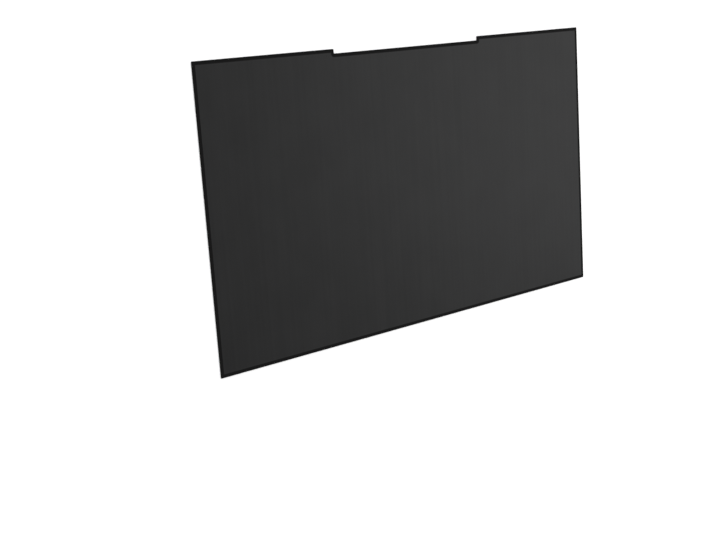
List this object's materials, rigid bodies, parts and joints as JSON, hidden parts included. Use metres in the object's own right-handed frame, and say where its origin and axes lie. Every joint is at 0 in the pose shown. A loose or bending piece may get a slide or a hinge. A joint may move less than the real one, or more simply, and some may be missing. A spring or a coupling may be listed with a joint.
{
  "type": "monitor privacy filter",
  "caption": "Flat rigid sheet of dark louvre film, cut to a 16:9 screen, with a shallow wide notch in its top edge that leaves a tab at each side.",
  "frame": {"origin": "middle of the sheet's overall outline, tabs included, on its back face, which is the face it rests on", "axes": "+X to the right along the long side as a viewer sees the front, +Y towards the notched top edge, +Z out of the front face"},
  "size_m": [0.531, 0.3036, 0.001],
  "materials": {
    "filter_film": "smooth charcoal louvre film with a satin anti-glare face, a glossy back and a narrow matt black rim along the cut edge"
  },
  "bodies": {
    "root": {"filter_sheet": "filter_film"}
  },
  "joints": []
}
